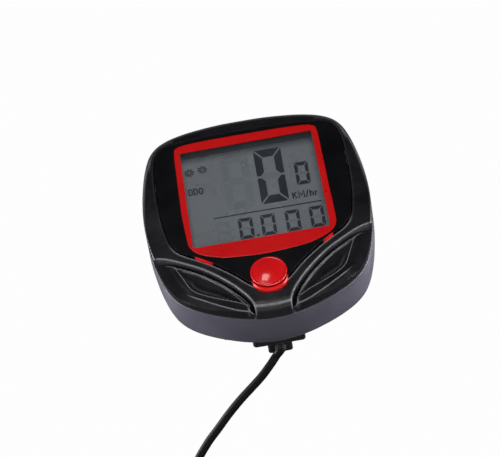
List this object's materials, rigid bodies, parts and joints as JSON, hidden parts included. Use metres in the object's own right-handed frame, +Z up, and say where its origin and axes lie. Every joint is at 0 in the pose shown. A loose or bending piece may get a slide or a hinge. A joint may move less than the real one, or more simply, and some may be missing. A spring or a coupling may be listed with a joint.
{
  "type": "cycling computer",
  "caption": "Wired cycling computer with a shield-shaped display head, two corner push buttons, handlebar bracket with cable ties, a signal lead and a fork sensor.",
  "frame": {"origin": "in the middle of the saddle pad's inner face, where the pad touches the top of the handlebar", "axes": "+X along the handlebar to the rider's right, -Y towards the rider, +Z up; the display leans 35 degrees back from level, towards the rider"},
  "size_m": [0.0558, 0.0589, 0.1187],
  "materials": {
    "gloss_black": "polished black moulding",
    "case_grey": "fine-textured dark grey moulding",
    "clear_window": "clear polycarbonate window",
    "red_gloss": "red moulding",
    "lcd": "reflective liquid-crystal cell",
    "film": "silvered film and glass capsule",
    "black_plastic": "black moulding, lightly textured",
    "rubber": "black rubber",
    "seal": "grey silicone seal",
    "steel": "plated steel",
    "contact_brass": "plated spring brass",
    "board_green": "solder-masked board"
  },
  "bodies": {
    "mount": {"bracket": "black_plastic", "saddle_pad": "rubber", "cable_tie_left": "black_plastic", "cable_tie_right": "black_plastic", "signal_cable": "rubber", "sensor_housing": "black_plastic", "sensor_lid": "black_plastic", "sensor_pad": "rubber", "reed_switch": "film"},
    "latch": {"release_latch": "black_plastic"},
    "pin_left": {"contact_pin_left": "contact_brass"},
    "pin_right": {"contact_pin_right": "contact_brass"},
    "button_left": {"button_left": "gloss_black"},
    "button_right": {"button_right": "gloss_black"},
    "battery_door": {"battery_door": "case_grey", "door_o_ring": "rubber"},
    "head": {"front_cover": "gloss_black", "rear_case": "case_grey", "case_gasket": "seal", "display_window": "clear_window", "screen_mask": "gloss_black", "red_screen_frame": "red_gloss", "red_badge": "red_gloss", "lcd_glass": "lcd", "lcd_reflector": "film", "lcd_connector_strip": "rubber", "circuit_board": "board_green", "processor_chip": "black_plastic", "quartz_crystal": "steel", "case_screw_1": "steel", "case_screw_2": "steel", "case_screw_3": "steel", "case_screw_4": "steel", "switch_dome_left": "rubber", "switch_dome_right": "rubber", "dock_contact_left": "contact_brass", "dock_contact_right": "contact_brass", "battery_cell": "steel", "cell_contact_negative": "contact_brass", "cell_contact_positive": "contact_brass"}
  },
  "joints": [
    {"name": "head_release", "type": "slide", "parent": "mount", "child": "head", "axis": [0, 0.8192, 0.5736], "range_m": [0, 0.008]},
    {"name": "button_left_press", "type": "slide", "parent": "head", "child": "button_left", "axis": [0, 0.5736, -0.8192], "range_m": [0, 0.00035], "stiffness_N_per_m": 40, "springref_m": -0.001},
    {"name": "button_right_press", "type": "slide", "parent": "head", "child": "button_right", "axis": [0, 0.5736, -0.8192], "range_m": [0, 0.00035], "stiffness_N_per_m": 40, "springref_m": -0.001},
    {"name": "battery_door_turn", "type": "hinge", "parent": "head", "child": "battery_door", "pos_m": [0, -0.02237, -0.0092], "axis": [0, -0.5736, 0.8192], "range_deg": [0, 60]},
    {"name": "latch_flex", "type": "hinge", "parent": "mount", "child": "latch", "pos_m": [0, -0.01303, -0.00406], "axis": [1, 0, 0], "range_deg": [0, 3.5], "stiffness_Nm_per_rad": 0.003, "springref_deg": -5.73},
    {"name": "contact_pin_left_press", "type": "slide", "parent": "mount", "child": "pin_left", "axis": [0, 0.5736, -0.8192], "range_m": [0, 0.0003], "stiffness_N_per_m": 2, "springref_m": -0.0005},
    {"name": "contact_pin_right_press", "type": "slide", "parent": "mount", "child": "pin_right", "axis": [0, 0.5736, -0.8192], "range_m": [0, 0.0003], "stiffness_N_per_m": 2, "springref_m": -0.0005}
  ]
}
